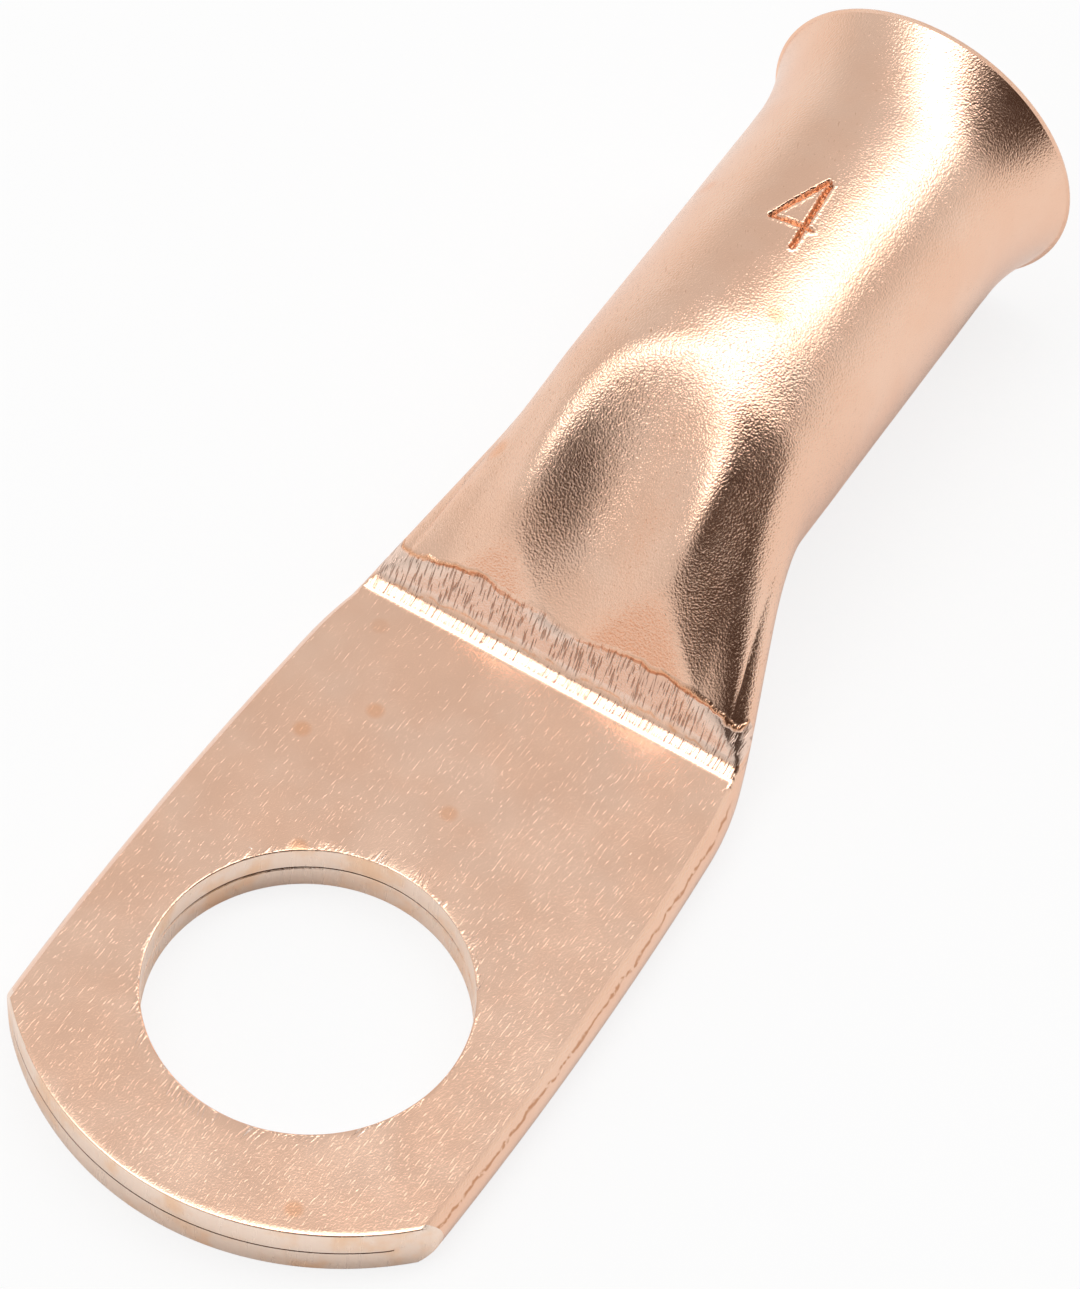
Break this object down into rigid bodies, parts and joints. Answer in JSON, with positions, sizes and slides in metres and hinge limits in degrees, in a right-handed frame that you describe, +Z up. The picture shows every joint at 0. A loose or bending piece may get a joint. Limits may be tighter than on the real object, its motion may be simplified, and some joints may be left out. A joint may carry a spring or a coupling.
{
  "type": "copper cable lug",
  "caption": "Copper cable lug: a round wire barrel with a belled mouth, pressed through a dimpled neck into a flat drilled palm.",
  "frame": {"origin": "bolt-hole axis on the underside of the palm", "axes": "+X along the tube towards the belled mouth, +Z up through the bolt hole, +Y to the left"},
  "size_m": [0.046, 0.0158, 0.0112],
  "materials": {
    "copper": "bare copper, satin, with fine rub marks"
  },
  "bodies": {
    "root": {"lug": "copper"}
  },
  "joints": []
}
